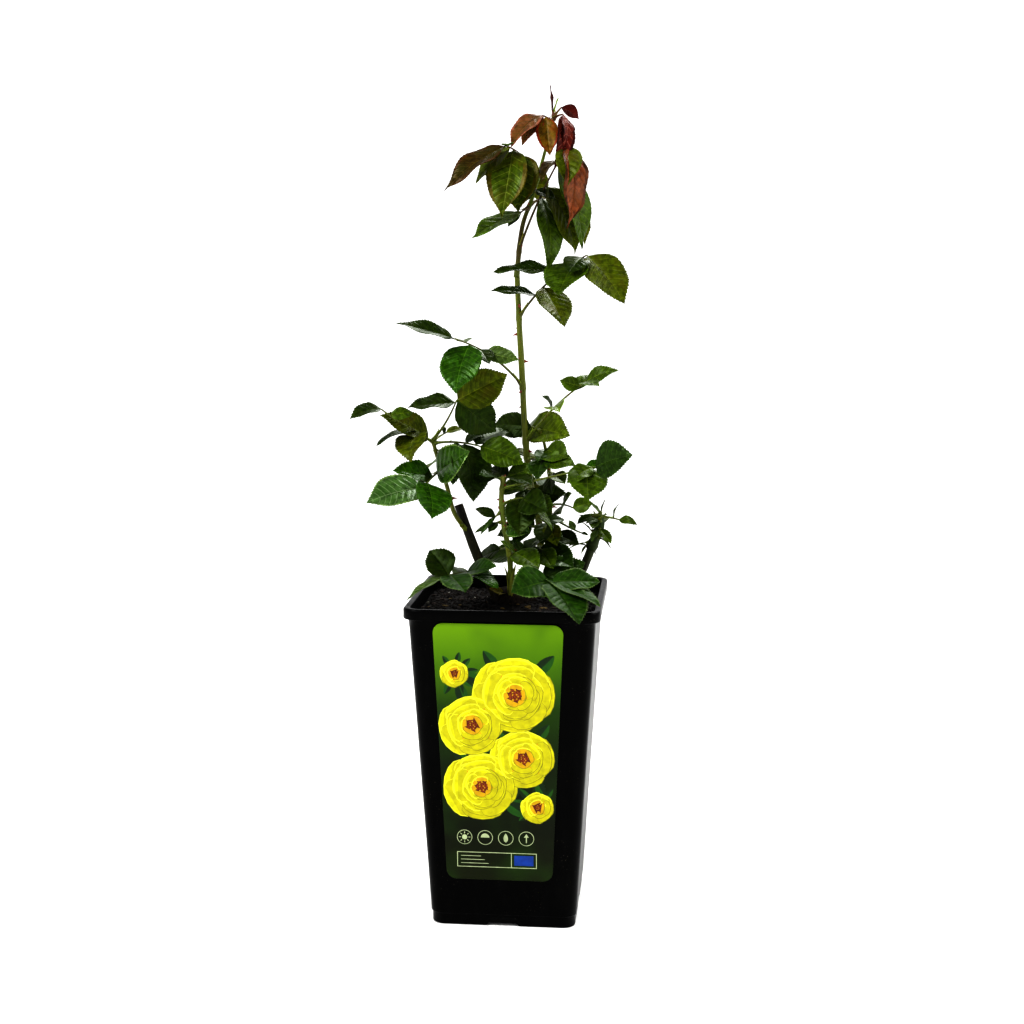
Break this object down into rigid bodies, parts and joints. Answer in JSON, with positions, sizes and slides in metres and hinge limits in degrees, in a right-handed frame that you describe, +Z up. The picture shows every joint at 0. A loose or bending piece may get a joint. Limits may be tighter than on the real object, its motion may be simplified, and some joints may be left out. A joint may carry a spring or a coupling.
{
  "type": "potted rose bush",
  "caption": "Young grafted rose bush with upright green canes and drooping red young leaves, in a tall square black nursery pot with a floral picture label.",
  "frame": {"origin": "centre of the pot's flat underside", "axes": "+Z up along the pot and canes, -Y towards the label, +X to the right of one who faces the label"},
  "size_m": [0.2109, 0.1948, 0.6515],
  "materials": {
    "pot_plastic": "black moulded plastic with a soft gloss",
    "label_film": "glossy printed film",
    "compost": "moist dark peat compost",
    "old_bark": "dark weathered bark",
    "green_bark": "smooth green bark with red prickles",
    "young_leaves": "glossy red to olive young leaves",
    "green_leaves": "glossy dark green leaves"
  },
  "bodies": {
    "root": {"pot": "pot_plastic", "label": "label_film", "soil": "compost", "graft_union": "old_bark", "left_stub": "old_bark", "right_stub": "old_bark", "main_cane": "green_bark", "front_cane": "green_bark", "left_side_cane": "green_bark", "right_shoot": "green_bark", "crown": "young_leaves", "bud_tip": "young_leaves", "left_tip": "green_leaves", "right_tip": "green_leaves", "upper_right_leaf": "green_leaves", "middle_left_leaf": "green_leaves", "middle_right_leaf": "green_leaves", "middle_back_leaf": "green_leaves", "right_upper_leaf": "green_leaves", "right_small_leaf": "green_leaves", "right_thin_leaf": "green_leaves", "right_back_leaf": "green_leaves", "right_low_leaf": "green_leaves", "low_back_leaf": "green_leaves", "front_right_leaf": "green_leaves", "front_top_leaf": "green_leaves", "front_middle_leaf": "green_leaves", "centre_leaf": "green_leaves", "centre_low_leaf": "green_leaves", "front_striped_leaf": "green_leaves", "front_left_leaf": "green_leaves", "foot_front_leaf": "green_leaves", "foot_back_leaf": "green_leaves", "rim_right_leaf": "green_leaves", "rim_left_leaf": "green_leaves"}
  },
  "joints": []
}
